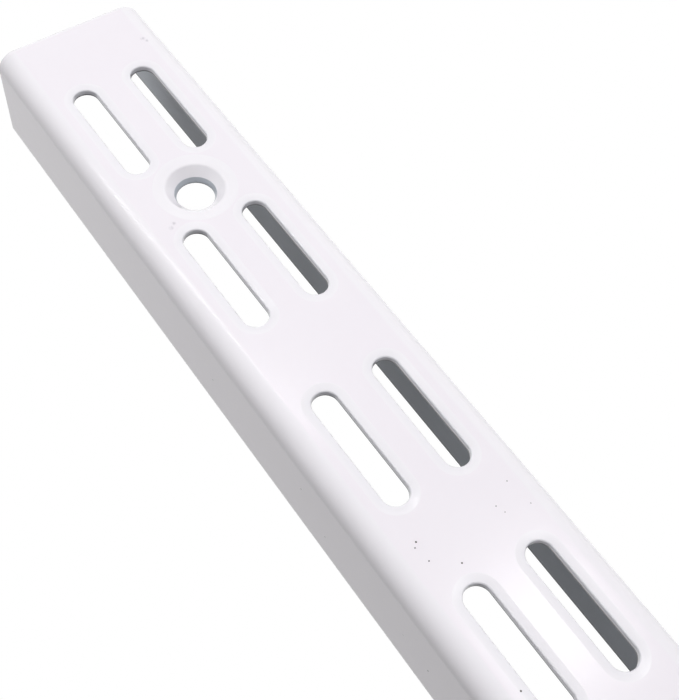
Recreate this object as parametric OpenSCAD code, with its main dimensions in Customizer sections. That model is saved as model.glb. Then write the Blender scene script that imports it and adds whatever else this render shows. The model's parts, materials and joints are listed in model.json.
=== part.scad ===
// Twin slot shelf upright, pressed from one sheet and powder coated.
// Millimetres. The length runs up Z, the front faces -Y and the wall is on +Y.
// The origin is the middle of the upright's box, level with the middle of the screw holes.

/* [Channel] */
// Length of the upright
length = 430; // [190:10:1000]
// Width across the front face
width = 25; // [24:0.5:40]
// Depth from the front face to the wall
depth = 16; // [10:0.5:30]
// Thickness of the sheet with its coat
sheet = 1.2; // [0.9:0.1:1.8]
// Outside radius of the two long bends
bend_r = 3.2; // [2.4:0.1:4]
// Radius on the free edges of the two legs
edge_r = 0.3; // [0.1:0.05:0.4]
// Radius rolled onto the outside of the cut ends
end_roll = 0.7; // [0.2:0.1:0.8]

/* [Bracket slots] */
// Spacing of the slots along the upright
pitch = 32; // [30:1:50]
// Length of a slot
slot_length = 19; // [10:0.5:19]
// Width of a slot
slot_width = 3.9; // [3:0.1:4]
// Distance between the middles of the two rows
row_gap = 10; // [8:0.5:11]
// Least distance from a cut end to the middle of the first slot
end_margin = 23; // [16:1:60]
// Depth that the press draws the face down to, at the edge of a slot
slot_dish = 0.12; // [0.05:0.01:0.2]
// Width of that drawn band round a slot
slot_dish_run = 1.3; // [0.8:0.1:1.4]
// Radius rolled onto the front edge of a slot
slot_roll = 0.4; // [0.2:0.1:0.5]

/* [Screw holes] */
// Diameter of a screw hole
hole_d = 5.7; // [4:0.1:6]
// Diameter of the countersink's cone where it leaves the drawn face
sink_d = 8.9; // [8:0.1:9.5]
// Full angle of the countersink
sink_angle = 90; // [80:5:100]
// Depth that the press draws the face down to, at the edge of the cone
sink_dish = 0.2; // [0.05:0.05:0.3]
// Diameter of the drawn face round a screw hole
sink_dish_d = 12.4; // [11.5:0.1:12.4]
// Length of hole below the cone, with the bend between them
hole_land = 0.8; // [0.6:0.1:1.2]
// Radius of the bend from the cone into the hole
throat_r = 1; // [0.4:0.1:1]
// Radius on the lip of the countersink
lip_r = 0.5; // [0.2:0.1:1]

/* [Hidden] */
$fn = 64;
// how far cutters run past a face
clear = 1;
slot_r = slot_width / 2;
hole_r = hole_d / 2;
sink_r = sink_d / 2;
inner_bend_r = bend_r - sheet;
pair_count = floor((length - 2 * end_margin) / pitch) + 1;
pair_z = [for (i = [0 : pair_count - 1]) (i - (pair_count - 1) / 2) * pitch];
// one screw hole in the gap next to the last pair at each end
screw_z = [for (s = [-1, 1]) s * (pair_z[pair_count - 1] - pitch / 2)];
sink_depth = sink_dish + (sink_r - hole_r) / tan(sink_angle / 2);
collar_depth = sink_depth + hole_land;
// radius of the raised back of the dimple where it leaves the sheet
collar_r = sink_r + sheet / cos(sink_angle / 2) - (sheet - sink_dish) * tan(sink_angle / 2);
collar_tip_r = collar_r - (collar_depth - sheet) * tan(sink_angle / 2);

// arc of radius r that rounds corner i of the outline p
function toward(a, b) = (b - a) / norm(b - a);
function half_angle(p, i) = acos(toward(p[i], p[i - 1]) * toward(p[i], p[i + 1])) / 2;
function arc_run(p, i, r) = r / tan(half_angle(p, i));
function arc_start(p, i, r) = p[i] + toward(p[i], p[i - 1]) * arc_run(p, i, r);
function arc_end(p, i, r) = p[i] + toward(p[i], p[i + 1]) * arc_run(p, i, r);
function arc_centre(p, i, r) =
    p[i] + toward([0, 0], arc_start(p, i, r) + arc_end(p, i, r) - 2 * p[i]) * r / sin(half_angle(p, i));

// The modules below have the front face at y = 0 and the wall at y = depth.

// outline with two round front corners, front side on y = front
module front_rounded(w, r, front, back) {
    translate([-w / 2, front + r])
        square([w, back - front - r]);
    translate([-w / 2 + r, front])
        square([w - 2 * r, back - front]);
    for (side = [-1, 1])
        translate([side * (w / 2 - r), front + r])
            circle(r);
}

// rounded tip of a leg, cut square on its inside by the channel's own wall
module leg_tip() {
    translate([-sheet / 2, depth - sheet])
        square([sheet, sheet - edge_r]);
    translate([-sheet / 2 + edge_r, depth - sheet])
        square([sheet - 2 * edge_r, sheet]);
    for (side = [-1, 1])
        translate([side * (sheet / 2 - edge_r), depth - edge_r])
            circle(edge_r);
}

module section() {
    difference() {
        front_rounded(width, bend_r, 0, depth - sheet);
        front_rounded(width - 2 * sheet, inner_bend_r, sheet, depth);
    }
    for (side = [-1, 1])
        translate([side * (width - sheet) / 2, 0])
            leg_tip();
}

// what rolling an edge to radius r takes off a square corner at the origin,
// with the sheet on the positive side of both axes
module roll_profile(r) {
    difference() {
        translate([-clear, -clear])
            square(r + clear);
        translate([r, r])
            circle(r);
    }
}

// outline of a cutter that leaves round edges on the sheet where radii isn't 0
module rounding_cutter(p, radii) {
    corners = [for (i = [0 : len(p) - 1]) if (radii[i] > 0) i];
    difference() {
        polygon([
            for (i = [0 : len(p) - 1])
                each radii[i] == 0
                    ? [p[i]]
                    : [arc_start(p, i, radii[i]), arc_centre(p, i, radii[i]), arc_end(p, i, radii[i])]
        ]);
        for (i = corners)
            translate(arc_centre(p, i, radii[i]))
                circle(radii[i]);
    }
}

// half the width of a slot, from its middle: drawn band, rolled edge and wall
module slot_profile() {
    rounding_cutter(
        [
            [0, -clear],
            [slot_r + slot_dish_run, -clear],
            [slot_r + slot_dish_run, 0],
            [slot_r, slot_dish],
            [slot_r, sheet + clear],
            [0, sheet + clear]
        ],
        [0, 0, 0, slot_roll, 0, 0]
    );
}

// slot through the sheet, local z into the sheet and local y along the slot
module slot_cut() {
    straight = slot_length - slot_width;
    for (turn = [0, 180])
        rotate([0, 0, turn])
            translate([0, straight / 2, 0]) {
                rotate([90, 0, 0])
                    linear_extrude(straight)
                        slot_profile();
                rotate_extrude(angle = 180)
                    slot_profile();
            }
}

// radial section of a screw hole: drawn face, lip, cone, bend and straight hole
module sink_profile() {
    rounding_cutter(
        [
            [0, -clear],
            [sink_dish_d / 2, -clear],
            [sink_dish_d / 2, 0],
            [sink_r, sink_dish],
            [hole_r, sink_depth],
            [hole_r, collar_depth + clear],
            [0, collar_depth + clear]
        ],
        [0, 0, 0, lip_r, throat_r, 0, 0]
    );
}

// raised back of the dimple, parallel to its cone
module sink_collar() {
    rotate_extrude()
        polygon([
            [0, sheet / 2],
            [collar_r, sheet / 2],
            [collar_r, sheet],
            [collar_tip_r, collar_depth],
            [0, collar_depth]
        ]);
}

// puts a cutter or collar on the front face, its local z into the sheet
module at_front(x, z) {
    translate([x, 0, z])
        rotate([-90, 0, 0])
            children();
}

// rolled outer edge round a cut end, the channel running down from z = 0
module end_roll_cut() {
    flat = width - 2 * bend_r;
    leg = depth - bend_r + clear;
    translate([flat / 2, 0, 0])
        rotate([-90, 0, 90])
            linear_extrude(flat)
                roll_profile(end_roll);
    for (side = [0, 1])
        mirror([side, 0, 0]) {
            translate([flat / 2, bend_r, 0])
                rotate([0, 0, -90])
                    rotate_extrude(angle = 90)
                        translate([bend_r, 0])
                            rotate(180)
                                roll_profile(end_roll);
            translate([width / 2, bend_r + leg, 0])
                rotate([-90, 0, 180])
                    linear_extrude(leg)
                        roll_profile(end_roll);
        }
}

module upright() {
    color("whitesmoke")
        translate([0, -depth / 2, 0])
            difference() {
                union() {
                    linear_extrude(length, center = true)
                        section();
                    for (z = screw_z)
                        at_front(0, z)
                            sink_collar();
                }
                for (z = pair_z, side = [-1, 1])
                    at_front(side * row_gap / 2, z)
                        slot_cut();
                for (z = screw_z)
                    at_front(0, z)
                        rotate_extrude()
                            sink_profile();
                for (end = [0, 1])
                    mirror([0, 0, end])
                        translate([0, 0, length / 2])
                            end_roll_cut();
            }
}

upright();
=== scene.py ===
import json
import math

import bpy
from mathutils import Matrix, Vector
from mathutils.geometry import delaunay_2d_cdt


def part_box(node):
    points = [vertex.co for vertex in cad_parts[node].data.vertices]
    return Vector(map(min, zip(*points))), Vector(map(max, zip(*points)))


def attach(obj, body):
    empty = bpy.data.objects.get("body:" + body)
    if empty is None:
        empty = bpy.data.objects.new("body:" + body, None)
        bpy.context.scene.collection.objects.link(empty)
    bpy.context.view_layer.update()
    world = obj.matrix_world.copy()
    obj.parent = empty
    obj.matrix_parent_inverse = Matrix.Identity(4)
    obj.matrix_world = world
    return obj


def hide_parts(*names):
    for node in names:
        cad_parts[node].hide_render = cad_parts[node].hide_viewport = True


MM = 0.001

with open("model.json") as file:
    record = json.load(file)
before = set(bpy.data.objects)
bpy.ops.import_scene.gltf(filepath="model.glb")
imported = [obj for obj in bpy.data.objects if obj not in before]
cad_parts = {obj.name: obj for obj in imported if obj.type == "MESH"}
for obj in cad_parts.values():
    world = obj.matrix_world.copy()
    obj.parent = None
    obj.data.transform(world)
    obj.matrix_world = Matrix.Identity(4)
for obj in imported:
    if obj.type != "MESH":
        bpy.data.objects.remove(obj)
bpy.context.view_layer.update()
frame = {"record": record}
mounts = {m["name"]: m for m in frame["record"]["mounts"]}

# driving sizes, in millimetres, from the frame
low, high = (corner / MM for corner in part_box("upright"))
WIDTH = high.x - low.x
DEPTH = high.y - low.y
LENGTH = high.z - low.z
FRONT = low.y
PITCH = mounts["bracket_slots_left"]["dims"]["spacing_y_mm"]
SLOT_R = mounts["bracket_slots_left"]["dims"]["hole_r_mm"]
SLOT_LENGTH = mounts["bracket_slots_left"]["dims"]["slot_length_mm"]
ROW_X = mounts["bracket_slots_right"]["pos_m"][0] / MM
HOLE_R = mounts["screw_holes"]["dims"]["hole_r_mm"]
SCREW_Z = mounts["screw_holes"]["dims"]["spacing_y_mm"] / 2

# sizes that the record has no place for, in millimetres, as in the part's source;
# the slot's roll is tighter here and the sink's lip rounder, as the photo shows them
SHEET = 1.2
BEND_R = 3.2
EDGE_R = 0.3
END_ROLL = 0.7
SLOT_DISH = 0.12
SLOT_DISH_RUN = 1.3
SLOT_ROLL = 0.25
SINK_R = 4.45
SINK_DISH = 0.2
SINK_DISH_R = 6.2
HOLE_LAND = 0.8
THROAT_R = 1.0
LIP_R = 0.7

FLAT = WIDTH / 2 - BEND_R
PAIRS = round((SCREW_Z + PITCH / 2) / PITCH) * 2 + 1

# the camera, in millimetres and degrees
CAMERA_AT = Vector((-55.12, -139.87, 79.44))
CAMERA_AIM = Vector((1.36, -8.0, 141.42))
CAMERA_ROLL = 39.16
IMAGE_WIDTH, IMAGE_HEIGHT = 679, 700
FOCAL_PIXELS = 1154.7


def make_camera():
    data = bpy.data.cameras.new("camera")
    camera = bpy.data.objects.new("camera", data)
    bpy.context.scene.collection.objects.link(camera)
    bpy.context.scene.camera = camera
    data.sensor_width = 36
    data.lens = data.sensor_width * FOCAL_PIXELS / max(IMAGE_WIDTH, IMAGE_HEIGHT)
    data.clip_start = 0.01
    data.clip_end = 20
    look = (CAMERA_AIM - CAMERA_AT).normalized()
    turn = look.to_track_quat("-Z", "Y").to_matrix().to_4x4()
    roll = Matrix.Rotation(math.radians(-CAMERA_ROLL), 4, "Z")
    camera.matrix_world = Matrix.Translation(CAMERA_AT * MM) @ turn @ roll
    return camera


# Edge profiles. A profile runs from the front skin round an edge to the back skin.
# Each point is (distance into the sheet, depth below the front, normal along each).

ARC_STEPS = 8

# the rounded corners, counted from 0, where the wall and the back edge start
EDGE_ARCS = (0, 1)
SLOT_ARCS = (1, 2)
SINK_ARCS = (2, 4)
# the grey painted shade's share on the walls, where the wall starts and beyond that corner
EDGE_WALL_SHADE = (0, 0)
SLOT_WALL_SHADE = (0.12, 0.25)
SINK_WALL_SHADE = (0, 1)


def rounded_path(corners):
    """Points of an open path given as (x, y, radius) corners, with the normal on its left."""
    points = []
    for i, (x, y, radius) in enumerate(corners):
        here = Vector((x, y))
        if i == 0 or i == len(corners) - 1:
            other = Vector(corners[1 if i == 0 else i - 1][:2])
            along = (other - here if i == 0 else here - other).normalized()
            points.append((x, y, -along.y, along.x))
            continue
        before = (here - Vector(corners[i - 1][:2])).normalized()
        after = (Vector(corners[i + 1][:2]) - here).normalized()
        turn = math.atan2(before.x * after.y - before.y * after.x, before.dot(after))
        run = radius * math.tan(abs(turn) / 2)
        start = here - before * run
        left = Vector((-before.y, before.x)) * math.copysign(1, turn)
        centre = start + left * radius
        for k in range(ARC_STEPS + 1):
            spin = Matrix.Rotation(turn * k / ARC_STEPS, 2)
            point = centre - spin @ (left * radius)
            along = spin @ before
            points.append((point.x, point.y, -along.y, along.x))
    return points


def edge_profile(front_r, back_r, skin=1.0):
    """Front skin, rounded front edge, cut face, rounded back edge, back skin."""
    return rounded_path([
        (skin, 0, 0),
        (0, 0, front_r),
        (0, SHEET, back_r),
        (skin, SHEET, 0),
    ])


def slot_profile():
    """Drawn band round the slot, rolled front edge, wall and back edge."""
    return rounded_path([
        (SLOT_DISH_RUN + 0.1, 0, 0),
        (SLOT_DISH_RUN, 0, 1),
        (0, SLOT_DISH, SLOT_ROLL),
        (0, SHEET, 0.12),
        (1.0, SHEET, 0),
    ])


def sink_profile():
    """Drawn face, lip, cone, bend into the hole, and the raised back that follows the cone."""
    sink_depth = SINK_DISH + SINK_R - HOLE_R
    tip = sink_depth + HOLE_LAND
    bend_run = THROAT_R * math.tan(math.radians(22.5))
    bend_step = bend_run * math.sqrt(0.5)
    collar_r = SINK_R + SHEET * math.sqrt(2) - (SHEET - SINK_DISH)
    tip_r = collar_r - (tip - SHEET)
    return rounded_path([
        (SINK_DISH_R + 0.1, 0, 0),
        (SINK_DISH_R, 0, 1),
        (SINK_R, SINK_DISH, LIP_R),
        (HOLE_R + bend_step, sink_depth - bend_step, 0.3),
        (HOLE_R, sink_depth + bend_run, 0.5),
        (HOLE_R, tip, 0.12),
        (tip_r, tip, 0.2),
        (collar_r, SHEET, 0.5),
        (collar_r + 0.8, SHEET, 0),
    ])


# Building the skin


class Skin:
    """Vertices with their own normals and painted light marks, and the faces between them."""

    def __init__(self):
        self.points = []
        self.normals = []
        self.coats = []
        self.faces = []

    def add(self, point, normal, coat):
        self.points.append(point)
        self.normals.append(normal.normalized())
        self.coats.append(coat)
        return len(self.points) - 1

    def strip(self, first, second):
        """Quads between two closed rows of vertices."""
        for i in range(len(first)):
            j = (i + 1) % len(first)
            self.faces.append((first[i], first[j], second[j], second[i]))


class Station:
    """One line along the upright: a point of the outer section and the way out of it."""

    def __init__(self, x, y, out_x, out_y):
        self.at = Vector((x, y, 0))
        self.out = Vector((out_x, out_y, 0))

    def point(self, depth, z):
        return self.at - self.out * depth + Vector((0, 0, z))


BEND_STEPS = 14
LEG_STEPS = 3
FLAT_STEPS = 12
ROW_STEP = 4.0
FIRST_FLAT = LEG_STEPS + BEND_STEPS
LAST_FLAT = FIRST_FLAT + FLAT_STEPS
LAST_STATION = LAST_FLAT + BEND_STEPS + LEG_STEPS
LAST_ROW = round(LENGTH / ROW_STEP)
UP = Vector((0, 0, 1))


def section_stations(tip_inset):
    """Stations from the left leg's free edge over the front to the right leg's."""
    right = []
    for k in range(BEND_STEPS + 1):
        turn = math.radians(90) * k / BEND_STEPS
        out_x, out_y = math.sin(turn), -math.cos(turn)
        right.append(Station(FLAT + BEND_R * out_x, FRONT + BEND_R + BEND_R * out_y, out_x, out_y))
    leg_low, leg_high = FRONT + BEND_R, FRONT + DEPTH - tip_inset
    for k in range(1, LEG_STEPS + 1):
        right.append(Station(WIDTH / 2, leg_low + (leg_high - leg_low) * k / LEG_STEPS, 1, 0))
    left = [Station(-s.at.x, s.at.y, -s.out.x, s.out.y) for s in reversed(right)]
    flat = []
    for k in range(1, FLAT_STEPS):
        flat.append(Station(-FLAT + 2 * FLAT * k / FLAT_STEPS, FRONT, 0, -1))
    return left + flat + right


def row_height(row, inset):
    top = LENGTH / 2 - inset
    return -top + 2 * top * row / LAST_ROW


def loop_keys(first, last):
    """Border of the grid between two stations, counter-clockwise seen from the front."""
    keys = [(i, 0) for i in range(first, last + 1)]
    keys += [(last, j) for j in range(1, LAST_ROW + 1)]
    keys += [(i, LAST_ROW) for i in range(last - 1, first - 1, -1)]
    keys += [(first, j) for j in range(LAST_ROW - 1, 0, -1)]
    return keys


def add_skin_grid(skin, depth, tip_inset, end_inset, outward):
    """Grid of the bends and legs on one side of the sheet, and the flat's border."""
    stations = section_stations(tip_inset)
    grid = {}
    for i, station in enumerate(stations):
        for j in range(LAST_ROW + 1):
            if FIRST_FLAT < i < LAST_FLAT and 0 < j < LAST_ROW:
                continue
            point = station.point(depth, row_height(j, end_inset))
            grid[i, j] = skin.add(point, station.out * outward, coat_of_grid(i, outward))
    for i in range(LAST_STATION):
        if FIRST_FLAT <= i < LAST_FLAT:
            continue
        for j in range(LAST_ROW):
            quad = (grid[i, j], grid[i + 1, j], grid[i + 1, j + 1], grid[i, j + 1])
            skin.faces.append(quad if outward == 1 else quad[::-1])
    return grid


# Painted light at a vertex: (worked, edge, inside), each from 0 to 1.
# Worked is where the press drew or bent the sheet, which gets a whiter, less pink tint as a painted
# reflection;
# edge is a sharp back edge, painted near black as shade; and inside covers the faces in the channel,
# painted grey as shade.


def coat_of_grid(i, outward):
    # bends get the painted reflection tint, the back skin the grey painted shade
    bent = LEG_STEPS < i < FIRST_FLAT or LAST_FLAT < i < LAST_STATION - LEG_STEPS
    return (1 if bent else 0, 0, 0 if outward == 1 else 1)


def along_arc(ring, arc):
    """How far a profile's point is along one of its arcs: 0 at its start, 1 at its end."""
    first = 1 + arc * (ARC_STEPS + 1)
    return (ring - first) / ARC_STEPS


def coat_of_ring(ring, arcs, wall_shade):
    """Painted light on a profile's point: the painted reflection tint past its first ring, near-black
    painted shade on its back corner, and grey painted shade from there on, of which the walls get a
    share.
    """
    along_wall, along_back = (along_arc(ring, arc) for arc in arcs)
    on_wall = wall_shade[0] + (wall_shade[1] - wall_shade[0]) * min(1, along_wall) if along_wall >= 0 else 0
    inside_painted_shade = min(1, max(on_wall, along_back))
    return (0 if ring == 0 else 1, 1 if 0 <= along_back <= 1 else 0, inside_painted_shade)


def add_border(skin, front_grid, back_grid, tip_profile, end_profile):
    """Cut faces of the sheet: its two ends and the free edges of the legs."""
    keys = loop_keys(0, LAST_STATION)
    previous = [front_grid[key] for key in keys]
    for ring in range(1, len(tip_profile) - 1):
        tip_s, tip_d, tip_ns, tip_nd = tip_profile[ring]
        end_s, end_d, end_ns, end_nd = end_profile[ring]
        stations = section_stations(tip_s)
        current = []
        for i, j in keys:
            at_end = j in (0, LAST_ROW)
            at_tip = i in (0, LAST_STATION)
            station = stations[i]
            normal = Vector((0, 0, 0))
            if at_end:
                inward = UP if j == 0 else -UP
                normal += inward * end_ns - station.out * end_nd
            if at_tip:
                normal += Vector((0, -1, 0)) * tip_ns - station.out * tip_nd
            depth = end_d if at_end else tip_d
            point = station.point(depth, row_height(j, end_s))
            current.append(skin.add(point, normal, coat_of_ring(ring, EDGE_ARCS, EDGE_WALL_SHADE)))
        skin.strip(current, previous)
        previous = current
    skin.strip([back_grid[key] for key in keys], previous)


class Opening:
    """A slot or hole in the flat front: its loop at any distance from its own outline."""

    ARC_PARTS = 28
    SIDE_PARTS = 6

    def __init__(self, x, z, straight, base_r, profile, arcs, wall_shade):
        self.x = x
        self.z = z
        self.straight = straight
        self.base_r = base_r
        self.profile = profile
        self.arcs = arcs
        # the walls' share of the grey painted shade
        self.wall_shade = wall_shade

    def loop(self, s):
        """Points and outward directions in the plane of the front, counter-clockwise."""
        made = []
        radius = self.base_r + s
        for side in (1, -1):
            centre = Vector((self.x, self.z + side * self.straight / 2))
            for k in range(self.ARC_PARTS + (1 if self.straight else 0)):
                turn = math.pi * (k / self.ARC_PARTS + (0 if side == 1 else 1))
                way = Vector((math.cos(turn), math.sin(turn)))
                made.append((centre + way * radius, way))
            for k in range(1, self.SIDE_PARTS if self.straight else 1):
                z = self.z + side * self.straight * (0.5 - k / self.SIDE_PARTS)
                way = Vector((-side, 0))
                made.append((Vector((self.x, z)) + way * radius, way))
        return made

    def covers(self, point, s):
        dz = max(0, abs(point.y - self.z) - self.straight / 2)
        return math.hypot(point.x - self.x, dz) < self.base_r + s


def make_openings():
    openings = []
    profile = slot_profile()
    straight = SLOT_LENGTH - 2 * SLOT_R
    for k in range(PAIRS):
        z = (k - (PAIRS - 1) / 2) * PITCH
        for side in (-1, 1):
            slot = Opening(side * ROW_X, z, straight, SLOT_R, profile, SLOT_ARCS, SLOT_WALL_SHADE)
            openings.append(slot)
    profile = sink_profile()
    for end in (-1, 1):
        openings.append(Opening(0, end * SCREW_Z, 0, 0, profile, SINK_ARCS, SINK_WALL_SHADE))
    return openings


def add_opening(skin, opening):
    """Strips round one opening; returns its first loop on the front and its last on the back."""
    loops = []
    for ring, (s, depth, normal_s, normal_d) in enumerate(opening.profile):
        current = []
        for point, way in opening.loop(s):
            position = Vector((point.x, FRONT + depth, point.y))
            normal = Vector((way.x * normal_s, normal_d, way.y * normal_s))
            coat = coat_of_ring(ring, opening.arcs, opening.wall_shade)
            current.append(skin.add(position, normal, coat))
        if loops:
            skin.strip(loops[-1], current)
        loops.append(current)
    return loops[0], loops[-1]


def fill_flat(skin, border, openings, loops, ring, outward):
    """Triangles over the flat front or back, between its border and the openings' loops."""
    coords, owners, edges = [], [], []
    for points in [border] + loops:
        first = len(coords)
        for index in points:
            point = skin.points[index]
            coords.append(Vector((point.x, point.z)))
            owners.append(index)
        count = len(points)
        edges += [(first + i, first + (i + 1) % count) for i in range(count)]
    found = delaunay_2d_cdt(coords, edges, [], 0, 1e-6)
    for face in found[2]:
        middle = sum((found[0][i] for i in face), Vector((0, 0))) / 3
        if any(o.covers(middle, o.profile[ring][0]) for o in openings):
            continue
        corners = [owners[found[3][i][0]] for i in face]
        a, b, c = (Vector((skin.points[i].x, skin.points[i].z)) for i in corners)
        turns_left = (b - a).cross(c - a) > 0
        skin.faces.append(tuple(corners if turns_left == (outward == 1) else reversed(corners)))


def build_skin():
    skin = Skin()
    end_profile = edge_profile(END_ROLL, 0.15)
    tip_profile = edge_profile(EDGE_R, EDGE_R)
    front_grid = add_skin_grid(skin, 0, tip_profile[0][0], end_profile[0][0], 1)
    back_grid = add_skin_grid(skin, SHEET, tip_profile[-1][0], end_profile[-1][0], -1)
    add_border(skin, front_grid, back_grid, tip_profile, end_profile)
    openings = make_openings()
    ends = [add_opening(skin, opening) for opening in openings]
    keys = loop_keys(FIRST_FLAT, LAST_FLAT)
    front_border = [front_grid[key] for key in keys]
    back_border = [back_grid[key] for key in keys]
    fill_flat(skin, front_border, openings, [first for first, last in ends], 0, 1)
    fill_flat(skin, back_border, openings, [last for first, last in ends], -1, -1)
    return skin


def make_upright(material):
    skin = build_skin()
    mesh = bpy.data.meshes.new("coated_upright")
    mesh.from_pydata([point * MM for point in skin.points], [], skin.faces)
    mesh.validate()
    coats = mesh.attributes.new("coat", "FLOAT_VECTOR", "POINT")
    coats.data.foreach_set("vector", [part for coat in skin.coats for part in coat])
    mesh.shade_smooth()
    mesh.normals_split_custom_set_from_vertices(skin.normals)
    mesh.materials.append(material)
    piece = bpy.data.objects.new("coated_upright", mesh)
    bpy.context.scene.collection.objects.link(piece)
    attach(piece, "root")
    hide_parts("upright")
    return piece


# Materials


class Graph:
    """A material's nodes, with short ways to add and join them."""

    def __init__(self, name):
        self.material = bpy.data.materials.new(name)
        self.material.use_nodes = True
        self.nodes = self.material.node_tree.nodes
        self.links = self.material.node_tree.links
        self.shader = self.nodes["Principled BSDF"]
        self.place = self.nodes.new("ShaderNodeTexCoord").outputs["Object"]

    def put(self, socket, value):
        if isinstance(value, bpy.types.NodeSocket):
            self.links.new(value, socket)
        else:
            socket.default_value = value

    def math(self, operation, *values):
        node = self.nodes.new("ShaderNodeMath")
        node.operation = operation
        for socket, value in zip(node.inputs, values):
            self.put(socket, value)
        return node.outputs[0]

    def noise(self, scale, detail):
        node = self.nodes.new("ShaderNodeTexNoise")
        self.put(node.inputs["Vector"], self.place)
        self.put(node.inputs["Scale"], scale)
        self.put(node.inputs["Detail"], detail)
        return node.outputs["Fac"]

    def ramp(self, value, low, high, smooth=True):
        node = self.nodes.new("ShaderNodeMapRange")
        node.interpolation_type = "SMOOTHSTEP" if smooth else "LINEAR"
        self.put(node.inputs["Value"], value)
        self.put(node.inputs["From Min"], low)
        self.put(node.inputs["From Max"], high)
        return node.outputs["Result"]

    def mix(self, factor, a, b):
        node = self.nodes.new("ShaderNodeMix")
        node.data_type = "RGBA"
        self.put(node.inputs["Factor"], factor)
        self.put(node.inputs["A"], a)
        self.put(node.inputs["B"], b)
        return node.outputs["Result"]

    def bump(self, height, distance, strength, below=None):
        node = self.nodes.new("ShaderNodeBump")
        self.put(node.inputs["Height"], height)
        self.put(node.inputs["Distance"], distance)
        self.put(node.inputs["Strength"], strength)
        if below is not None:
            self.put(node.inputs["Normal"], below)
        return node.outputs["Normal"]

    def parts(self, name):
        """The three parts of a vector stored on the mesh."""
        stored = self.nodes.new("ShaderNodeAttribute")
        stored.attribute_name = name
        split = self.nodes.new("ShaderNodeSeparateXYZ")
        self.put(split.inputs[0], stored.outputs["Vector"])
        return split.outputs

    def distance(self, point):
        node = self.nodes.new("ShaderNodeVectorMath")
        node.operation = "DISTANCE"
        self.put(node.inputs[0], self.place)
        self.put(node.inputs[1], point)
        return node.outputs["Value"]


FLAT_COLOR = (0.882, 0.845, 0.892, 1)
FLAT_COLOR_DEEP = (0.862, 0.822, 0.877, 1)
# a whiter, less pink tint on bends and drawn rims, painted to stand in for the white they reflect
WORKED_PAINTED_SHEEN_COLOR = (0.880, 0.858, 0.898, 1)
# grey standing in for the shade in the channel and on the walls of slots and holes
INNER_PAINTED_SHADE_COLOR = (0.56, 0.59, 0.64, 1)
# near-black painted shade along the sharp back edges
EDGE_PAINTED_SHADE_COLOR = (0.16, 0.16, 0.17, 1)
PIT_COLOR = (0.10, 0.09, 0.09, 1)

# specks in the coat that the photo shows: place in millimetres and radius
PITS = [
    ((-12.5, 1.74, 151.67), 0.13),
    ((-12.5, -0.84, 129.88), 0.14),
    ((-12.5, 3.44, 123.88), 0.12),
    ((-6.94, -8.0, 113.55), 0.13),
    ((-7.52, -8.0, 113.0), 0.10),
    ((-7.12, -8.0, 110.69), 0.10),
    ((-8.01, -8.0, 92.15), 0.13),
    ((-3.90, -8.0, 108.22), 0.12),
    ((4.49, -8.0, 111.75), 0.08),
    ((4.92, -8.0, 110.48), 0.07),
    ((7.92, -8.0, 113.66), 0.08),
    ((8.50, -8.0, 109.59), 0.07),
    ((-12.5, 1.53, 106.97), 0.08),
    ((-12.5, 2.13, 101.67), 0.12),
]


def pit_mask(graph):
    """1 at the coat's specks, 0 elsewhere."""
    mask = 0.0
    for point, radius in PITS:
        away = graph.distance([value * MM for value in point])
        spot = graph.math("LESS_THAN", away, radius * MM)
        mask = graph.math("MAXIMUM", mask, spot)
    return mask


# faint scuffs on the front: middle and radius in millimetres
SCUFF_COLOR = (0.42, 0.40, 0.46, 1)
SCUFFS = [
    ((9.05, -8.0, 206.5), 0.5),
    ((9.42, -8.0, 205.8), 0.4),
    ((-6.2, -8.0, 171.8), 0.4),
    ((-6.95, -8.0, 171.3), 0.45),
]


def scuff_mask(graph):
    """Up to 0.6 in the middle of a scuff, fading to 0 at its radius, broken up by noise."""
    mask = 0.0
    for point, radius in SCUFFS:
        away = graph.distance([value * MM for value in point])
        mark = graph.math("SUBTRACT", 1.0, graph.math("DIVIDE", away, radius * MM))
        mask = graph.math("MAXIMUM", mask, mark)
    grain = graph.ramp(graph.noise(2500, 2), 0.3, 0.6)
    return graph.math("MULTIPLY", graph.math("MULTIPLY", mask, grain), 0.6)


def powder_coat():
    graph = Graph("white_powder_coat")
    shader = graph.shader
    shader.inputs["Roughness"].default_value = 0.17
    shader.inputs["IOR"].default_value = 1.5
    # the three painted light marks stored on the mesh
    worked_painted_sheen, edge_painted_shade, inside_painted_shade = graph.parts("coat")
    coat = graph.mix(graph.noise(55, 3), FLAT_COLOR_DEEP, FLAT_COLOR)
    # bends and drawn rims: whiter tint as a painted reflection
    coat = graph.mix(worked_painted_sheen, coat, WORKED_PAINTED_SHEEN_COLOR)
    # grey on the channel's inner faces and on the walls of slots and holes: painted shade; the same
    # mask makes them less glossy
    coat = graph.mix(inside_painted_shade, coat, INNER_PAINTED_SHADE_COLOR)
    shine = graph.math("MULTIPLY_ADD", inside_painted_shade, -0.4, 0.5)
    graph.put(shader.inputs["Specular IOR Level"], shine)
    # sharp back edges: near black as painted shade
    coat = graph.mix(graph.ramp(edge_painted_shade, 0.6, 0.95), coat, EDGE_PAINTED_SHADE_COLOR)
    coat = graph.mix(scuff_mask(graph), coat, SCUFF_COLOR)
    pits = pit_mask(graph)
    coat = graph.mix(pits, coat, PIT_COLOR)
    graph.put(shader.inputs["Base Color"], coat)
    waves = graph.bump(graph.noise(160, 1), 0.0002, 0.05)
    peel = graph.bump(graph.noise(900, 1), 0.00006, 0.10, waves)
    sunk = graph.bump(graph.math("SUBTRACT", 1.0, pits), 0.0001, 0.5, peel)
    graph.put(shader.inputs["Normal"], sunk)
    return graph.material


FLOOR_HALF = 6.0
FLOOR_PALE = 0.45


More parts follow.
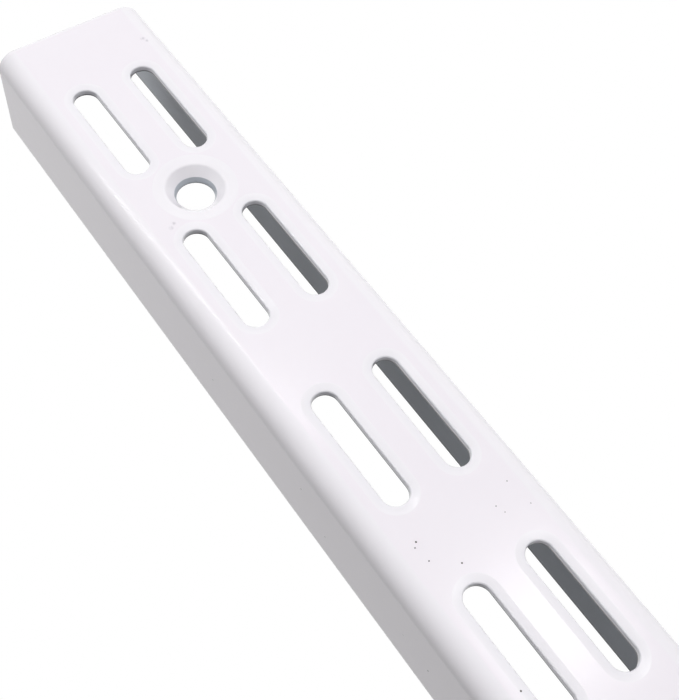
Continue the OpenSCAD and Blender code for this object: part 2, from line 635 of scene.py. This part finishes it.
def make_floor():
    """A wide pale floor level with the upright's lower end."""
    mesh = bpy.data.meshes.new("floor")
    z = -LENGTH / 2 * MM
    signs = ((-1, -1), (1, -1), (1, 1), (-1, 1))
    corners = [(x * FLOOR_HALF, y * FLOOR_HALF, z) for x, y in signs]
    mesh.from_pydata(corners, [], [(0, 1, 2, 3)])
    floor = bpy.data.objects.new("floor", mesh)
    bpy.context.scene.collection.objects.link(floor)
    graph = Graph("pale_floor")
    tone = graph.mix(graph.noise(4, 2), (0.78, 0.78, 0.79, 1), (0.84, 0.84, 0.84, 1))
    graph.put(graph.shader.inputs["Base Color"], tone)
    graph.put(graph.shader.inputs["Roughness"], 0.9)
    graph.put(graph.shader.inputs["Specular IOR Level"], 0.0)
    graph.put(graph.shader.inputs["Emission Color"], (1, 1, 1, 1))
    path = graph.nodes.new("ShaderNodeLightPath")
    mirrored = graph.math("MAXIMUM", path.outputs["Is Glossy Ray"], path.outputs["Is Transmission Ray"])
    looked_at = graph.math("MAXIMUM", path.outputs["Is Camera Ray"], mirrored)
    seen = graph.math("MULTIPLY", looked_at, FLOOR_PALE)
    graph.put(graph.shader.inputs["Emission Strength"], seen)
    mesh.materials.append(graph.material)


# Light

LIT = Vector((0, 0, 0.16))


def heading(azimuth, elevation):
    """Direction from the upright; azimuth 0 is straight in front, positive to its right."""
    a, e = math.radians(azimuth), math.radians(elevation)
    return Vector((math.sin(a) * math.cos(e), -math.cos(a) * math.cos(e), math.sin(e)))


def add_lamp(name, shape, width, height, power):
    data = bpy.data.lights.new(name, "AREA")
    data.shape = shape
    data.size = width
    data.size_y = height
    data.energy = power
    lamp = bpy.data.objects.new(name, data)
    bpy.context.scene.collection.objects.link(lamp)
    return lamp


def softbox(name, way, distance, size, power):
    """A soft lamp that faces the photographed end; the white world stands in for its reflection."""
    lamp = add_lamp(name, "DISK", size, size, power)
    lamp.location = LIT + way * distance
    lamp.rotation_euler = (-way).to_track_quat("-Z", "Y").to_euler()
    lamp.visible_glossy = False
    lamp.data.spread = math.radians(100)


def strip_lamp(name, start, end, width, power):
    """A thin bright strip between two points, seen only as a fine line in the coat."""
    lamp = add_lamp(name, "RECTANGLE", (end - start).length, width, power)
    middle = (start + end) / 2
    along = (end - start).normalized()
    back = (middle - LIT).normalized()
    back = (back - along * back.dot(along)).normalized()
    turn = Matrix((along, back.cross(along), back)).transposed()
    lamp.matrix_world = Matrix.Translation(middle) @ turn.to_4x4()
    lamp.visible_diffuse = False


BEND_TOP = Vector((-0.011, -0.0076, 0.18))
BEND_LOW = Vector((-0.0093, -0.008, 0.135))


def make_lamps():
    softbox("right_front_softbox", heading(34, 38), 0.6, 0.45, 0.345)
    softbox("low_softbox", heading(14, -13), 0.9, 0.35, 1.3)
    softbox("right_softbox", heading(80, 25), 0.9, 0.7, 0.55)
    softbox("left_softbox", heading(-54, 28), 0.36, 0.3, 0.19)
    softbox("back_softbox", heading(150, 25), 0.9, 0.7, 0.22)
    start = BEND_TOP + heading(-40, 37) * 0.6
    end = BEND_LOW + heading(20, 21.5) * 0.6
    strip_lamp("strip", start, end, 0.006, 0.3)
    patch = Vector((0, -0.008, 0.093)) + heading(22.6, 7) * 0.6
    strip_lamp("patch", patch - UP * 0.04, patch + UP * 0.04, 0.06, 0.12)


WORLD_LIGHT = 0.12


def make_world():
    """White where the camera and reflections see it, and dim as a light."""
    world = bpy.data.worlds.new("studio")
    bpy.context.scene.world = world
    world.use_nodes = True
    nodes, links = world.node_tree.nodes, world.node_tree.links
    path = nodes.new("ShaderNodeLightPath")
    shown = path.outputs["Is Camera Ray"]
    for ray in ("Is Glossy Ray", "Is Transmission Ray"):
        either = nodes.new("ShaderNodeMath")
        either.operation = "MAXIMUM"
        links.new(shown, either.inputs[0])
        links.new(path.outputs[ray], either.inputs[1])
        shown = either.outputs[0]
    strength = nodes.new("ShaderNodeMapRange")
    links.new(shown, strength.inputs["Value"])
    strength.inputs["To Min"].default_value = WORLD_LIGHT
    strength.inputs["To Max"].default_value = 1.0
    back = nodes["Background"]
    back.inputs["Color"].default_value = (1, 1, 1, 1)
    links.new(strength.outputs["Result"], back.inputs["Strength"])


make_camera()
make_upright(powder_coat())
make_floor()
make_world()
make_lamps()
bpy.context.scene.view_settings.view_transform = "Standard"
